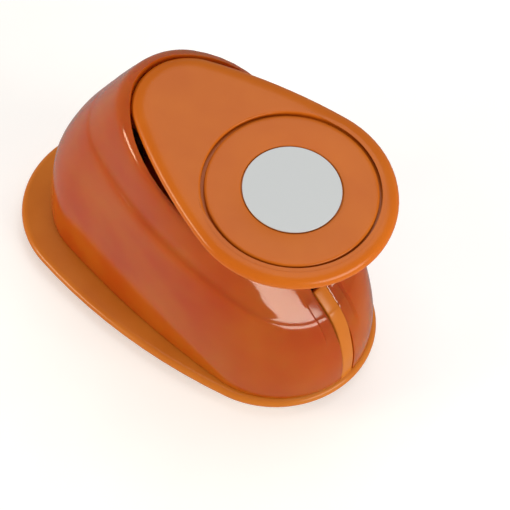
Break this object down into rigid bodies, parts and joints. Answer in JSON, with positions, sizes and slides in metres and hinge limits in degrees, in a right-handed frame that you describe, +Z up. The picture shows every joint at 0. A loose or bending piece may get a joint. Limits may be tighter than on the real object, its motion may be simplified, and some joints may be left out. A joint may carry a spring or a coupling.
{
  "type": "lever craft punch",
  "caption": "Hand craft punch with an egg-shaped brimmed base, tinted whale-back housing and a paddle lever that drives a round punch through a steel die.",
  "frame": {"origin": "middle of the base outline, on the table plane, at the underside of the sole pad", "axes": "+X from the heel to the nose and pad, +Y to the left, +Z up"},
  "size_m": [0.115, 0.0606, 0.0743],
  "materials": {
    "orange_plastic": "moulded opaque orange, glossy",
    "tinted_plastic": "clear red-orange moulding, polished",
    "black_plastic": "moulded black acetal",
    "white_nylon": "natural nylon",
    "bright_steel": "ground steel",
    "dark_steel": "oiled dark steel",
    "black_rubber": "thin foam rubber sheet",
    "grey_label": "silver-grey coated label"
  },
  "bodies": {
    "body": {"sole_pad": "black_rubber", "die_plate": "bright_steel", "base": "orange_plastic", "housing": "tinted_plastic", "pivot_frame": "dark_steel", "pivot_pin": "bright_steel", "pin_clip_left": "dark_steel", "pin_clip_right": "dark_steel", "stripper_plate": "bright_steel", "punch_guide": "black_plastic", "guide_post_left": "bright_steel", "guide_post_right": "bright_steel", "return_spring_left": "bright_steel", "return_spring_right": "bright_steel", "die_screw_1": "dark_steel", "die_screw_2": "dark_steel", "die_screw_3": "dark_steel", "die_screw_4": "dark_steel", "frame_screw_1": "dark_steel", "frame_screw_2": "dark_steel", "guide_screw_1": "dark_steel", "guide_screw_2": "dark_steel", "guide_screw_3": "dark_steel", "guide_screw_4": "dark_steel"},
    "lever": {"lever": "orange_plastic", "pad_disc": "orange_plastic", "label_disc": "grey_label", "roller_pin": "bright_steel"},
    "roller": {"roller": "white_nylon"},
    "punch_set": {"punch": "bright_steel", "punch_bolt": "dark_steel", "punch_holder": "black_plastic", "carrier_plate": "dark_steel", "carrier_screw_left": "dark_steel", "carrier_screw_right": "dark_steel"}
  },
  "joints": [
    {"name": "lever_press", "type": "hinge", "parent": "body", "child": "lever", "pos_m": [-0.0113, 0, 0.0613], "axis": [0, 1, 0], "range_deg": [0, 10]},
    {"name": "punch_slide", "type": "slide", "parent": "body", "child": "punch_set", "axis": [0, 0, -1], "range_m": [0, 0.00489], "stiffness_N_per_m": 2500, "springref_m": -0.004, "deforming": ["return_spring_left", "return_spring_right"]},
    {"name": "roller_spin", "type": "hinge", "parent": "lever", "child": "roller", "pos_m": [0.0185, 0, 0.0423], "axis": [0, 1, 0], "continuous": true}
  ],
  "couplings": [
    {"joint": "lever_press", "follows": "punch_slide", "rad_per_m": 35.72}
  ]
}
